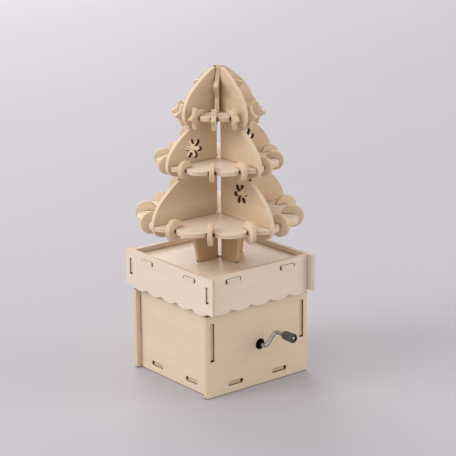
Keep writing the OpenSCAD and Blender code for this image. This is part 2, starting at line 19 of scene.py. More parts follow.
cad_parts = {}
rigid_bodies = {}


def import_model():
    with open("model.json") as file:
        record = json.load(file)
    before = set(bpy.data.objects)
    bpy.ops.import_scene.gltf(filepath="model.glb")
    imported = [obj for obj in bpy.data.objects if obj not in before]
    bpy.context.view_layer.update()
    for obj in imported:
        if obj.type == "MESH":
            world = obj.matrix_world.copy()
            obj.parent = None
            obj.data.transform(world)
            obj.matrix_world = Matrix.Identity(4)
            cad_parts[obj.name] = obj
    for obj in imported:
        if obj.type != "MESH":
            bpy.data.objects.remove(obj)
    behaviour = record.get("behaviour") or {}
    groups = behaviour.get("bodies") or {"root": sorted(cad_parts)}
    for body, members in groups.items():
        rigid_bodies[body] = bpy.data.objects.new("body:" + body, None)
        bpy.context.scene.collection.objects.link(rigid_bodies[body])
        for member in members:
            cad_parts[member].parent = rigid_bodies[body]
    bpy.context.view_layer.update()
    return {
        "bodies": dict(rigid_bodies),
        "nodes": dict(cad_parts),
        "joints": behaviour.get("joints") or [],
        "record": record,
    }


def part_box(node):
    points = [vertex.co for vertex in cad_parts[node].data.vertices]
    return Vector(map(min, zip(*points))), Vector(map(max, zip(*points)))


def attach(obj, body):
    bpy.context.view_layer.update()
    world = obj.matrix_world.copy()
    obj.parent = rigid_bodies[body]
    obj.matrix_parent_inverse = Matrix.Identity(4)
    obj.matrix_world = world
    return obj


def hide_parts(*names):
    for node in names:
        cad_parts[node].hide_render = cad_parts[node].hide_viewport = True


LOG = logging.getLogger("music_box")
MM = 0.001
SHEET = 3.0 * MM
MIX_COLOUR_INPUTS = (0, 6, 7)
MIX_COLOUR_OUTPUT = 2

Colour = tuple[float, float, float]
Point2 = tuple[float, float]
Point3 = tuple[float, float, float]
Socket = bpy.types.NodeSocket
Outputs = bpy.types.bpy_prop_collection


# ------------------------------------------------------------------ small helpers


def rgba(colour: Colour) -> tuple[float, float, float, float]:
    """Returns the colour with a full alpha."""
    return (*colour, 1.0)


def blended(a: Colour, b: Colour, share: float) -> Colour:
    """Mixes two colours.

    Args:
        a: The colour at a share of 0.
        b: The colour at a share of 1.
        share: How much of b to take.

    Returns:
        The mixed colour.
    """
    return tuple(x + (y - x) * share for x, y in zip(a, b))


class NodeSketch:
    """Adds nodes to one shader tree and wires them up."""

    def __init__(self, tree: bpy.types.NodeTree) -> None:
        """Keeps the tree to draw in.

        Args:
            tree: A material's tree or a group's tree.
        """
        self.tree = tree

    def add(self, kind: str, **settings: Any) -> bpy.types.Node:
        """Adds one node.

        Args:
            kind: The node's type name, without "ShaderNode".
            **settings: Attributes to set on the node.

        Returns:
            The new node.
        """
        name = kind if kind.startswith("NodeGroup") else "ShaderNode" + kind
        node = self.tree.nodes.new(name)
        for key, value in settings.items():
            setattr(node, key, value)
        return node

    def feed(self, socket: Socket, value: Any) -> None:
        """Links a socket to the input, or sets the input to a plain value.

        Args:
            socket: The input socket.
            value: An output socket, a number, a vector or a colour.
        """
        if isinstance(value, Socket):
            self.tree.links.new(value, socket)
        elif socket.type == "RGBA" and len(value) == 3:
            socket.default_value = rgba(value)
        else:
            socket.default_value = value

    def wire(self, node: bpy.types.Node, values: dict[str, Any]) -> Outputs:
        """Feeds several of a node's inputs.

        Args:
            node: The node.
            values: Each input's name, with what it is fed.

        Returns:
            The node's outputs.
        """
        for label, value in values.items():
            self.feed(node.inputs[label], value)
        return node.outputs

    def group(self, tree: bpy.types.NodeTree, values: dict[str, Any]) -> Outputs:
        """Returns the outputs of a shared group whose inputs are fed with the values."""
        return self.wire(self.add("Group", node_tree=tree), values)

    def math(self, operation: str, *values: Any, clamp: bool = False) -> Socket:
        """Adds a Math node.

        Args:
            operation: The node's operation.
            *values: Its inputs, in order.
            clamp: Whether the result is held between 0 and 1.

        Returns:
            The result's socket.
        """
        node = self.add("Math", operation=operation, use_clamp=clamp)
        for socket, value in zip(node.inputs, values):
            self.feed(socket, value)
        return node.outputs[0]

    def times(self, value: Any, factor: Any) -> Socket:
        """Returns the socket of a value times a factor."""
        return self.math("MULTIPLY", value, factor)

    def vector(self, operation: str, *values: Any) -> Socket:
        """Adds a Vector Math node.

        Args:
            operation: The node's operation.
            *values: Its inputs, in order.

        Returns:
            The result's socket, a value for a dot product or a distance and a vector otherwise.
        """
        node = self.add("VectorMath", operation=operation)
        for socket, value in zip(node.inputs, values):
            self.feed(socket, value)
        return node.outputs["Value" if operation in ("DOT_PRODUCT", "DISTANCE") else "Vector"]

    def combine(self, x: Any, y: Any, z: Any) -> Socket:
        """Returns the socket of a vector with the three values."""
        return self.wire(self.add("CombineXYZ"), {"X": x, "Y": y, "Z": z})["Vector"]

    def noise(self, where: Any, scale: float = 1.0, detail: float = 2.0, rough: float = 0.5) -> Socket:
        """Adds a noise texture.

        Args:
            where: The vector that it is read at.
            scale: Its scale.
            detail: Its octaves.
            rough: Its roughness.

        Returns:
            The noise value's socket, around 0.5.
        """
        values = {"Vector": where, "Scale": scale, "Detail": detail, "Roughness": rough}
        return self.wire(self.add("TexNoise"), values)["Fac"]

    def span(self, value: Any, low: float, high: float) -> Socket:
        """Eases a range onto 0 to 1, held at both ends.

        Args:
            value: The value to map.
            low: What becomes 0.
            high: What becomes 1.

        Returns:
            The mapped value's socket.
        """
        node = self.add("MapRange", interpolation_type="SMOOTHSTEP")
        return self.wire(node, {"Value": value, "From Min": low, "From Max": high})["Result"]

    def mix(self, share: Any, a: Any, b: Any) -> Socket:
        """Mixes two colours.

        Args:
            share: How much of b to take.
            a: The first colour or socket.
            b: The second colour or socket.

        Returns:
            The mixed colour's socket.
        """
        node = self.add("Mix", data_type="RGBA")
        for place, value in zip(MIX_COLOUR_INPUTS, (share, a, b)):
            self.feed(node.inputs[place], value)
        return node.outputs[MIX_COLOUR_OUTPUT]

    def bump(self, height: Socket, strength: float, depth: float) -> Socket:
        """Adds a Bump node.

        Args:
            height: The height's socket.
            strength: Its strength.
            depth: How deep a height of 1 is, in metres.

        Returns:
            The normal's socket.
        """
        values = {"Strength": strength, "Distance": depth, "Height": height}
        return self.wire(self.add("Bump"), values)["Normal"]


def new_material(name: str) -> tuple[bpy.types.Material, NodeSketch, bpy.types.Node]:
    """Makes a material.

    Args:
        name: The material's name.

    Returns:
        The material, a sketch of its tree, and its shader.
    """
    mat = bpy.data.materials.new(name)
    mat.use_nodes = True
    return mat, NodeSketch(mat.node_tree), mat.node_tree.nodes["Principled BSDF"]


class GroupSketch(NodeSketch):
    """A shader node group with named inputs and outputs."""

    def __init__(self, name: str, inputs: dict[str, Any], outputs: Sequence[str]) -> None:
        """Makes the group and its sockets.

        Args:
            name: The group's name.
            inputs: Each input's name, with its default: a number or a vector.
            outputs: Each output's name. All of them are values.
        """
        super().__init__(bpy.data.node_groups.new(name, "ShaderNodeTree"))
        for label, default in inputs.items():
            kind = "NodeSocketFloat" if isinstance(default, (int, float)) else "NodeSocketVector"
            socket = self.tree.interface.new_socket(name=label, in_out="INPUT", socket_type=kind)
            socket.default_value = default
        for label in outputs:
            self.tree.interface.new_socket(name=label, in_out="OUTPUT", socket_type="NodeSocketFloat")
        self.given = self.add("NodeGroupInput").outputs
        self.made = self.add("NodeGroupOutput").inputs

    def give(self, **results: Any) -> None:
        """Wires results to the outputs of the same names.

        Args:
            **results: Each output's name in lower case, with its socket.
        """
        for label, value in results.items():
            self.feed(self.made[label.capitalize()], value)

    def marks(self, along: Any, side: Any, seed: Any, per_metre: Point2, detail: float = 2.0,
              rough: float = 0.5) -> Socket:
        """Adds a noise that is stretched along the grain.

        Args:
            along: The place along the grain.
            side: The place across the grain.
            seed: A number that sets the noise apart.
            per_metre: How often it repeats in a metre, along and across.
            detail: Its octaves.
            rough: Its roughness.

        Returns:
            The noise value's socket.
        """
        where = self.combine(self.times(along, per_metre[0]), self.times(side, per_metre[1]), seed)
        return self.noise(where, detail=detail, rough=rough)


# ------------------------------------------------------------------ shared effects


@dataclass(frozen=True)
class SheetLie:
    """Finds a place on a sheet: along and across its grain, its depth, and whether it is on a face."""

    face_tilt: Point2 = (0.55, 0.9)

    def group(self) -> bpy.types.NodeTree:
        """Builds the effect's group.

        Returns:
            The group.
        """
        g = GroupSketch(
            "sheet_lie",
            {"Position": (0, 0, 0), "Normal": (0, 0, 1), "Through": (0, 0, 1), "Grain": (1, 0, 0),
             "Start": 0.0, "Thickness": SHEET},
            ("Along", "Sideways", "Depth", "Face"))
        position, through, grain = (g.given[k] for k in ("Position", "Through", "Grain"))
        side = g.vector("CROSS_PRODUCT", through, grain)
        depth = g.math("SUBTRACT", g.vector("DOT_PRODUCT", position, through), g.given["Start"])
        tilt = g.math("ABSOLUTE", g.vector("DOT_PRODUCT", g.given["Normal"], through))
        g.give(along=g.vector("DOT_PRODUCT", position, grain),
               sideways=g.vector("DOT_PRODUCT", position, side),
               depth=g.math("DIVIDE", depth, g.given["Thickness"]),
               face=g.span(tilt, *self.face_tilt))
        return g.tree


@dataclass(frozen=True)
class WoodGrain:
    """A peeled veneer's broad bands, fine lines and pores, with their repeats in a metre."""

    sway: Point2 = (9.0, 16.0)
    sway_width: float = 16 * MM
    bands: Point2 = (7.0, 95.0)
    band_range: Point2 = (0.3, 0.7)
    lines: Point2 = (26.0, 900.0)
    line_range: Point2 = (0.34, 0.66)
    line_height: float = 0.6
    pores: Point2 = (260.0, 3600.0)
    pore_range: Point2 = (0.62, 0.74)
    pore_height: float = -0.5

    def group(self) -> bpy.types.NodeTree:
        """Builds the effect's group.

        Returns:
            The group.
        """
        g = GroupSketch("wood_grain", {"Along": 0.0, "Sideways": 0.0, "Seed": 0.0},
                        ("Bands", "Lines", "Pores", "Height"))
        along, side, seed = (g.given[k] for k in ("Along", "Sideways", "Seed"))
        sway = g.marks(along, side, seed, self.sway, 1.0)
        bent = g.math("ADD", side, g.times(sway, self.sway_width))
        broad = g.marks(along, bent, seed, self.bands, 2.5)
        lines = g.span(g.marks(along, bent, seed, self.lines, 2.0, 0.6), *self.line_range)
        pores = g.span(g.marks(along, bent, seed, self.pores, 1.0), *self.pore_range)
        height = g.math("ADD", g.times(lines, self.line_height), g.times(pores, self.pore_height))
        g.give(bands=g.span(broad, *self.band_range), lines=lines, pores=pores, height=height)
        return g.tree


@dataclass(frozen=True)
class CutEdge:
    """The layers of a cut edge, as shares of the sheet's thickness, and its fibres."""

    middle: float = 0.5
    wander: float = 0.1
    wander_per_metre: Point2 = (300.0, 300.0)
    core_range: Point2 = (0.24, 0.17)
    glue_line: float = 0.21
    glue_range: Point2 = (0.045, 0.01)
    fibre_per_metre: Point2 = (2200.0, 2200.0)
    fibre_layers: float = 9.0
    fibre_range: Point2 = (0.3, 0.72)

    def group(self) -> bpy.types.NodeTree:
        """Builds the effect's group.

        Returns:
            The group.
        """
        g = GroupSketch("cut_edge", {"Along": 0.0, "Sideways": 0.0, "Depth": 0.5, "Seed": 0.0},
                        ("Core", "Glue", "Fibre"))
        along, side, depth, seed = (g.given[k] for k in ("Along", "Sideways", "Depth", "Seed"))
        run = g.marks(along, side, seed, self.wander_per_metre, 1.0)
        wander = g.math("MULTIPLY_ADD", run, self.wander, -self.wander / 2)
        level = g.math("ADD", depth, wander)
        off_middle = g.math("ABSOLUTE", g.math("SUBTRACT", level, self.middle))
        off_glue = g.math("ABSOLUTE", g.math("SUBTRACT", off_middle, self.glue_line))
        layer = g.math("MULTIPLY_ADD", depth, self.fibre_layers, seed)
        fibre = g.marks(along, side, layer, self.fibre_per_metre)
        g.give(core=g.span(off_middle, *self.core_range), glue=g.span(off_glue, *self.glue_range),
               fibre=g.span(fibre, *self.fibre_range))
        return g.tree


@dataclass(frozen=True)
class ScorchAndPaintedShade:
    """The cutting beam's brown on cut walls, with painted shade where walls, gaps and seams are closed
    in.
    """

    unevenness: float = 0.24
    wall_range: Point2 = (0.20, 0.46)
    seam_shade_range: Point2 = (0.66, 0.44)
    seam_shade_strength: float = 0.55

    def group(self) -> bpy.types.NodeTree:
        """Builds the effect's group.

        Returns:
            The group.
        """
        g = GroupSketch("scorch_and_painted_shade", {"Openness": 1.0, "Seam": 1.0, "Zone": 0.0, "Face": 0.0, "Fibre": 0.5},
                        ("Burnt",))
        shut = g.math("SUBTRACT", 1.0, g.given["Openness"])
        uneven = g.math("MULTIPLY_ADD", g.given["Fibre"], self.unevenness, -self.unevenness / 2)
        # Painted shade: cut walls darken by how closed in they are, on top of the real scorch.
        walls = g.span(g.math("ADD", shut, uneven), *self.wall_range)
        edge = g.math("SUBTRACT", 1.0, g.given["Face"])
        cut_walls = g.math("MAXIMUM", g.times(walls, edge), g.times(g.given["Zone"], edge))
        # Painted shade in the seams between parts, by how close another part is.
        seam_shade = g.times(g.span(g.given["Seam"], *self.seam_shade_range), self.seam_shade_strength)
        g.give(burnt=g.math("MAXIMUM", cut_walls, seam_shade, clamp=True))
        return g.tree


@dataclass(frozen=True)
class RubbedSurface:
    """Fine scratches, smudges and a cast skin on metal and plastic, with their repeats in a metre."""

    scratch_stretch: Point3 = (1.0, 0.12, 1.0)
    scratches: float = 3800.0
    scratch_range: Point2 = (0.45, 0.7)
    smudges: float = 330.0
    smudge_range: Point2 = (0.3, 0.7)
    skin: float = 2400.0

    def group(self) -> bpy.types.NodeTree:
        """Builds the effect's group.

        Returns:
            The group.
        """
        g = GroupSketch("rubbed_surface", {"Position": (0, 0, 0), "Seed": 0.0},
                        ("Scratches", "Smudges", "Skin"))
        spot = g.vector("ADD", g.given["Position"], g.combine(g.given["Seed"], 0.0, 0.0))
        stretched = g.vector("MULTIPLY", spot, self.scratch_stretch)
        scratches = g.noise(stretched, self.scratches, 2.0, 0.7)
        g.give(scratches=g.span(scratches, *self.scratch_range),
               smudges=g.span(g.noise(spot, self.smudges), *self.smudge_range),
               skin=g.noise(spot, self.skin))
        return g.tree


@dataclass(frozen=True)
class SettledDust:
    """Pale dust that settles in patches on faces that look up."""

    tilt_range: Point2 = (0.3, 0.95)
    patches: float = 120.0
    patch_range: Point2 = (0.4, 0.75)

    def group(self) -> bpy.types.NodeTree:
        """Builds the effect's group.

        Returns:
            The group.
        """
        g = GroupSketch("settled_dust", {"Position": (0, 0, 0), "Normal": (0, 0, 1), "Amount": 0.2},
                        ("Dust",))
        up = g.span(g.vector("DOT_PRODUCT", g.given["Normal"], (0, 0, 1)), *self.tilt_range)
        patch = g.span(g.noise(g.given["Position"], self.patches, 3.0, 0.6), *self.patch_range)
        g.give(dust=g.math("MULTIPLY", g.times(up, patch), g.given["Amount"], clamp=True))
        return g.tree


class SharedEffects:
    """The shader groups that more than one finish uses, each built once."""

    def __init__(self) -> None:
        """Builds every group."""
        self.sheet_lie = SheetLie().group()
        self.wood_grain = WoodGrain().group()
        self.cut_edge = CutEdge().group()
        self.scorch_and_painted_shade = ScorchAndPaintedShade().group()
        self.rubbed_surface = RubbedSurface().group()
        self.dust = SettledDust().group()


class Lie(Enum):
    """How a sheet stands: the direction through it, and the direction of its grain."""

    FACING_FRONT = ((0.0, 1.0, 0.0), (1.0, 0.0, 0.0))
    FACING_SIDE = ((1.0, 0.0, 0.0), (0.0, 1.0, 0.0))
    FLAT = ((0.0, 0.0, 1.0), (1.0, 0.0, 0.0))
    STANDING_FRONT = ((0.0, 1.0, 0.0), (0.0, 0.0, 1.0))
    TURNED_LEFT = ((math.sqrt(0.5), math.sqrt(0.5), 0.0), (math.sqrt(0.5), -math.sqrt(0.5), 0.0))
    TURNED_RIGHT = ((-math.sqrt(0.5), math.sqrt(0.5), 0.0), (math.sqrt(0.5), math.sqrt(0.5), 0.0))

    @property
    def through(self) -> Point3:
        """The direction through the sheet."""
        return self.value[0]

    @property
    def grain(self) -> Point3:
        """The direction of the grain."""
        return self.value[1]


@dataclass(frozen=True)
class CutOut:
    """A cut-out whose walls are scorched."""

    middle: Vector
    reach: float
    fade: float = 1.04


# ------------------------------------------------------------------ finishes


@dataclass(frozen=True)
class PlyFinish:
    """Bare laser-cut plywood with basswood faces."""

    slot: str = "basswood_ply"
    light: Colour = (0.76, 0.60, 0.42)
    dark: Colour = (0.69, 0.51, 0.33)
    line: Colour = (0.50, 0.34, 0.20)
    line_share: float = 0.10
    pore_share: float = 0.14
    edge: Colour = (0.74, 0.57, 0.38)
    edge_tint: float = 0.6
    core: Colour = (0.64, 0.46, 0.28)
    core_share: float = 0.55
    glue_share: float = 0.22
    fibre_share: float = 0.25
    # The real scorch's colour, also used for painted shade in slots, seams and at the foot.
    burnt: Colour = (0.075, 0.032, 0.013)
    slot_reach: float = 2.4 * MM
    seam_shade_reach: float = 1.8 * MM
    reach_samples: int = 6
    # Painted shade under the bottom tier: a darker, warmer brown below a height.
    under_tier_shade: Colour = (0.50, 0.30, 0.13)
    under_tier_shade_share: float = 0.62
    under_tier_shade_top: float = 0.0
    under_tier_shade_fade: float = 14 * MM
    # Painted contact shade: a dark line at the foot of a wall, where it meets the floor.
    foot_shade_share: float = 0.8
    foot_shade_height: float = 0.0
    foot_shade_core: float = 0.4
    roughness: float = 0.57
    line_roughness: float = 0.12
    burnt_roughness: float = 0.38
    gloss: float = 0.35
    bump_strength: float = 0.35
    line_depth: float = 0.04 * MM
    fibre_height: float = 0.7

    def tinted(self, towards: Colour, share: float) -> "PlyFinish":
        """Returns the same finish with its face colours moved towards another colour.

        Args:
            towards: The colour to move to.
            share: How far to move.

        Returns:
            The tinted finish.
        """
        return replace(self, light=blended(self.light, towards, share),
                       dark=blended(self.dark, towards, share),
                       edge=blended(self.edge, towards, share * self.edge_tint))

    def material(self, effects: SharedEffects, name: str, lie: Lie, start: float, seed: float,
                 hole: CutOut | None = None) -> bpy.types.Material:
        """Makes this finish for one sheet.

        Args:
            effects: The shared shader groups.
            name: The material's name.
            lie: How the sheet stands.
            start: Where the sheet's lower face is along the direction through it.
            seed: A number that sets this sheet's grain apart.
            hole: The sheet's scorched cut-out, or None.

        Returns:
            The material.
        """
        mat, s, shader = new_material(name)
        where = s.add("TexCoord").outputs
        place = s.group(effects.sheet_lie, {
            "Position": where["Object"], "Normal": where["Normal"], "Through": lie.through,
            "Grain": lie.grain, "Start": start})
        spot = {"Along": place["Along"], "Sideways": place["Sideways"], "Seed": seed}
        grain = s.group(effects.wood_grain, spot)
        edges = s.group(effects.cut_edge, {**spot, "Depth": place["Depth"]})
        burnt = self._burnt(s, effects, where["Object"], place["Face"], edges["Fibre"], hole)
        bare = s.mix(place["Face"], self._cut(s, edges), self._veneer(s, grain))
        # Painted shade low down: under the bottom tier and at the foot.
        bare = self._painted_low_shade(s, where["Object"], bare)
        rough = s.math("MULTIPLY_ADD", grain["Lines"], self.line_roughness, self.roughness)
        raised = s.math("ADD", grain["Height"], s.times(edges["Fibre"], self.fibre_height))
        s.wire(shader, {
            # Burnt walls and painted shade share one dark colour.
            "Base Color": s.mix(burnt, bare, self.burnt),
            "Roughness": s.math("MULTIPLY_ADD", burnt, self.burnt_roughness, rough, clamp=True),
            "Specular IOR Level": self.gloss,
            "Normal": s.bump(raised, self.bump_strength, self.line_depth)})
        return mat

    def _burnt(self, s: NodeSketch, effects: SharedEffects, place: Socket, face: Socket, fibre: Socket,
               hole: CutOut | None) -> Socket:
        """Adds the nodes that find the scorched walls and the painted shade in slots, gaps and seams.

        Args:
            s: The material's sketch.
            effects: The shared shader groups.
            place: The place's socket.
            face: The socket that is 1 on the sheet's faces.
            fibre: The fibres' socket.
            hole: The sheet's scorched cut-out, or None.

        Returns:
            The socket that is 1 where the wood is burnt and where shade is painted.
        """
        values = {"Face": face, "Fibre": fibre}
        # Occlusion over short reaches drives the painted shade in slots, gaps and seams.
        for label, reach in (("Openness", self.slot_reach), ("Seam", self.seam_shade_reach)):
            air = s.add("AmbientOcclusion", samples=self.reach_samples)
            values[label] = s.wire(air, {"Distance": reach})["AO"]
        if hole:
            away = s.vector("DISTANCE", place, hole.middle)
            values["Zone"] = s.span(away, hole.reach * hole.fade, hole.reach)
        return s.group(effects.scorch_and_painted_shade, values)["Burnt"]

    def _veneer(self, s: NodeSketch, grain: Outputs) -> Socket:
        """Adds the colour of the faces.

        Args:
            s: The material's sketch.
            grain: The wood_grain group's outputs.

        Returns:
            The colour's socket.
        """
        veneer = s.mix(grain["Bands"], self.light, self.dark)
        veneer = s.mix(s.times(grain["Lines"], self.line_share), veneer, self.line)
        return s.mix(s.times(grain["Pores"], self.pore_share), veneer, self.line)

    def _cut(self, s: NodeSketch, edges: Outputs) -> Socket:
        """Adds the colour of the cut edges.

        Args:
            s: The material's sketch.
            edges: The cut_edge group's outputs.

        Returns:
            The colour's socket.
        """
        cut = s.mix(s.times(edges["Core"], self.core_share), self.edge, self.core)
        cut = s.mix(s.times(edges["Glue"], self.glue_share), cut, self.line)
        return s.mix(s.times(edges["Fibre"], self.fibre_share), cut, self.core)

    def _painted_low_shade(self, s: NodeSketch, place: Socket, bare: Socket) -> Socket:
        """Adds painted shade below a height, under the bottom tier, and a painted dark line of shade at
        the foot, where there are any.

        Args:
            s: The material's sketch.
            place: The place's socket.
            bare: The bare wood's colour.

        Returns:
            The colour's socket.
        """
        if max(self.under_tier_shade_top, self.foot_shade_height) <= 0:
            return bare
        height = s.wire(s.add("SeparateXYZ"), {"Vector": place})["Z"]
        if self.under_tier_shade_top > 0:
            # Painted shade below the bottom tier.
            low_down = s.span(height, self.under_tier_shade_top, self.under_tier_shade_top - self.under_tier_shade_fade)
            bare = s.mix(s.times(low_down, self.under_tier_shade_share), bare, self.under_tier_shade)
        # Painted contact shade at the foot, in the burnt colour.
        if self.foot_shade_height > 0:
            foot = s.span(height, self.foot_shade_height, self.foot_shade_height * self.foot_shade_core)
            bare = s.mix(s.times(foot, self.foot_shade_share), bare, self.burnt)
        return bare


@dataclass(frozen=True)
class HardFinish:
    """A metal or moulded finish with rubbed, smudged skin."""

    slot: str
    base: Colour
    worn: Colour
    metallic: float
    roughness: float
    spread: float = 0.15
    smudge_share: float = 0.6
    scratch_share: float = 0.35
    bump_strength: float = 0.4
    skin_depth: float = 0.01 * MM
    dust: float = 0.1
    dust_colour: Colour = (0.62, 0.60, 0.56)

    def material(self, effects: SharedEffects, name: str, seed: float) -> bpy.types.Material:
        """Makes this finish.

        Args:
            effects: The shared shader groups.
            name: The material's name.
            seed: A number that sets this piece's marks apart.

        Returns:
            The material.
        """
        mat, s, shader = new_material(name)
        where = s.add("TexCoord").outputs
        rubbed = s.group(effects.rubbed_surface, {"Position": where["Object"], "Seed": seed})
        dust = s.group(effects.dust, {"Position": where["Object"], "Normal": where["Normal"],
                                      "Amount": self.dust})["Dust"]
        tone = s.mix(s.times(rubbed["Smudges"], self.smudge_share), self.base, self.worn)
        tone = s.mix(s.times(rubbed["Scratches"], self.scratch_share), tone, self.worn)
        rough = s.math("MULTIPLY_ADD", rubbed["Smudges"], self.spread, self.roughness)
        s.wire(shader, {
            "Base Color": s.mix(dust, tone, self.dust_colour),
            "Metallic": self.metallic,
            "Roughness": s.math("ADD", rough, dust, clamp=True),
            "Normal": s.bump(rubbed["Skin"], self.bump_strength, self.skin_depth)})
        return mat


STEEL = HardFinish("bright_steel", base=(0.56, 0.56, 0.55), worn=(0.36, 0.35, 0.34),
                   metallic=1.0, roughness=0.10, spread=0.12)
SPRING_STEEL = HardFinish("spring_steel", base=(0.50, 0.51, 0.53), worn=(0.36, 0.36, 0.38),
                          metallic=1.0, roughness=0.24)
ZINC = HardFinish("zinc_plate", base=(0.46, 0.46, 0.47), worn=(0.34, 0.34, 0.35),
                  metallic=1.0, roughness=0.42, spread=0.2, skin_depth=0.03 * MM)
BRASS = HardFinish("brass", base=(0.70, 0.50, 0.20), worn=(0.55, 0.38, 0.15),
                   metallic=1.0, roughness=0.22)
BLACK_PLASTIC = HardFinish("black_plastic", base=(0.058, 0.057, 0.053), worn=(0.085, 0.083, 0.078),
                           metallic=0.0, roughness=0.40, spread=0.12, skin_depth=0.012 * MM, dust=0.06)


# ------------------------------------------------------------------ pieces


@dataclass
class Workshop:
    """What every sub-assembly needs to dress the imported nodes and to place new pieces."""

    frame: dict[str, Any]
    effects: SharedEffects
    ply: PlyFinish
    sheet_sanding: float = 0.16 * MM
    seam_gap: float = 0.002 * MM
    flat_angle: float = math.radians(0.4)
    sharp_angle: float = math.radians(38)
    edge_steps: int = 2
    face_weight: int = 90
    seed_step: float = 0.37
    made: list[str] = field(default_factory=list)

    def soften(self, obj: bpy.types.Object, width: float) -> None:
        """Rounds an object's sharp edges with modifiers, and leaves its mesh as it is.

        Args:
            obj: The object.
            width: The width of the rounding, in metres.
        """
        weld = obj.modifiers.new("join_seams", "WELD")
        weld.merge_threshold = self.seam_gap
        flat = obj.modifiers.new("join_flat_faces", "DECIMATE")
        flat.decimate_type = "DISSOLVE"
        flat.angle_limit = self.flat_angle
        bevel = obj.modifiers.new("sanded_edges", "BEVEL")
        bevel.width = width
        bevel.segments = self.edge_steps
        bevel.limit_method = "ANGLE"
        bevel.angle_limit = self.sharp_angle
        bevel.use_clamp_overlap = True
        level = obj.modifiers.new("even_shading", "WEIGHTED_NORMAL")
        level.keep_sharp = False
        level.weight = self.face_weight

    def dress(self, node: str, material: bpy.types.Material, sanded: float) -> None:
        """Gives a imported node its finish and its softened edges.

        Args:
            node: The node's name.
            material: The finish.
            sanded: The width of its edge rounding, in metres, or 0 for none.
        """
        obj = self.frame["nodes"][node]
        obj.data.materials.clear()
        obj.data.materials.append(material)
        if sanded > 0:
            self.soften(obj, sanded)
        self.made.append(node)
        LOG.info("dressed %s", node)

    def dress_ply(self, node: str, lie: Lie, seed: float, finish: PlyFinish | None = None,
                  hole: CutOut | None = None) -> None:
        """Gives a packed sheet its plywood finish.

        Args:
            node: The node's name.
            lie: How the sheet stands.
            seed: A number that sets its grain apart.
            finish: The plywood finish, or None for the workshop's own.
            hole: The sheet's scorched cut-out, or None.
        """
        low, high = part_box(node)
        start = ((low + high) / 2).dot(Vector(lie.through)) - SHEET / 2
        finish = finish or self.ply
        material = finish.material(self.effects, f"ply_{node}", lie, start, seed, hole)
        self.dress(node, material, self.sheet_sanding)

    def dress_hard(self, finish: HardFinish, nodes: Iterable[str], sanded: float = 0.0) -> None:
        """Gives packed metal or moulded nodes their finish.

        Args:
            finish: The finish.
            nodes: The nodes' names.
            sanded: The width of their edge rounding, in metres, or 0 for none.
        """
        for count, node in enumerate(nodes):
            name = f"{finish.slot}_{node}"
            self.dress(node, finish.material(self.effects, name, self.seed_step * count), sanded)

    def place(self, name: str, mesh: bpy.types.Mesh, material: bpy.types.Material, body: str, slot: str,
              nodes: Sequence[str], matrix: Matrix) -> None:
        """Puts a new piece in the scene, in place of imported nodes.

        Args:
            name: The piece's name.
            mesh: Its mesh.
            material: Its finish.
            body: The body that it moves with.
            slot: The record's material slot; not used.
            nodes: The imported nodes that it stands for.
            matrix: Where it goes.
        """
        obj = bpy.data.objects.new(name, mesh)
        bpy.context.scene.collection.objects.link(obj)
        mesh.materials.append(material)
        obj.matrix_world = matrix
        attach(obj, body)
        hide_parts(*nodes)
        self.made.append(name)
        LOG.info("built %s", name)


def finished_mesh(bm: bmesh.types.BMesh, name: str, sharp_angle: float) -> bpy.types.Mesh:
    """Turns built geometry into a smooth mesh whose sharp edges stay crisp.

    Args:
        bm: The geometry, which is freed.
        name: The mesh's name.
        sharp_angle: The angle from which an edge is sharp.

    Returns:
        The mesh.
    """
    mesh = bpy.data.meshes.new(name)
    bm.to_mesh(mesh)
    bm.free()
    mesh.shade_smooth()
    mesh.set_sharp_from_angle(angle=sharp_angle)
    return mesh


def sheet_mesh(name: str, outline: Sequence[Point2], rounding: float) -> bpy.types.Mesh:
    """Cuts a sheet to an outline in X and Z, centred on Y, with rounded edges.

    Args:
        name: The mesh's name.
        outline: The corners of the outline, in order, in metres.
        rounding: The width of the rounding along its edges.

    Returns:
        The mesh.
    """
    bm = bmesh.new()
    ring = [bm.verts.new((x, -SHEET / 2, z)) for x, z in outline]
    face = bm.faces.new(ring)
    grown = bmesh.ops.extrude_face_region(bm, geom=[face])
    moved = [v for v in grown["geom"] if isinstance(v, bmesh.types.BMVert)]
    bmesh.ops.translate(bm, verts=moved, vec=(0, SHEET, 0))
    bmesh.ops.recalc_face_normals(bm, faces=bm.faces)
    rims = [e for e in bm.edges if abs(e.verts[0].co.y - e.verts[1].co.y) < SHEET / 2]
    bmesh.ops.bevel(bm, geom=rims, offset=rounding, segments=3, profile=0.5, affect="EDGES",
                    clamp_overlap=True)
    return finished_mesh(bm, name, math.radians(32))


def lathe_mesh(name: str, profile: Sequence[Point2], steps: int) -> bpy.types.Mesh:
    """Turns a profile of (radius, distance) about the -Y direction.

    Args:
        name: The mesh's name.
        profile: The profile's points, from the start outwards, in metres.
        steps: The steps round the axis.

    Returns:
        The mesh.
    """
    bm = bmesh.new()
    rings = []
    for radius, out in profile:
        turns = [2 * math.pi * k / steps for k in range(steps if radius > 0 else 1)]
        rings.append([bm.verts.new((radius * math.cos(a), -out, radius * math.sin(a))) for a in turns])
    for a, b in zip(rings, rings[1:]):
        for k in range(steps):
            corners = [a[k % len(a)], a[(k + 1) % len(a)], b[(k + 1) % len(b)], b[k % len(b)]]
            bm.faces.new(list(dict.fromkeys(corners)))
    bmesh.ops.recalc_face_normals(bm, faces=bm.faces)
    return finished_mesh(bm, name, math.radians(40))


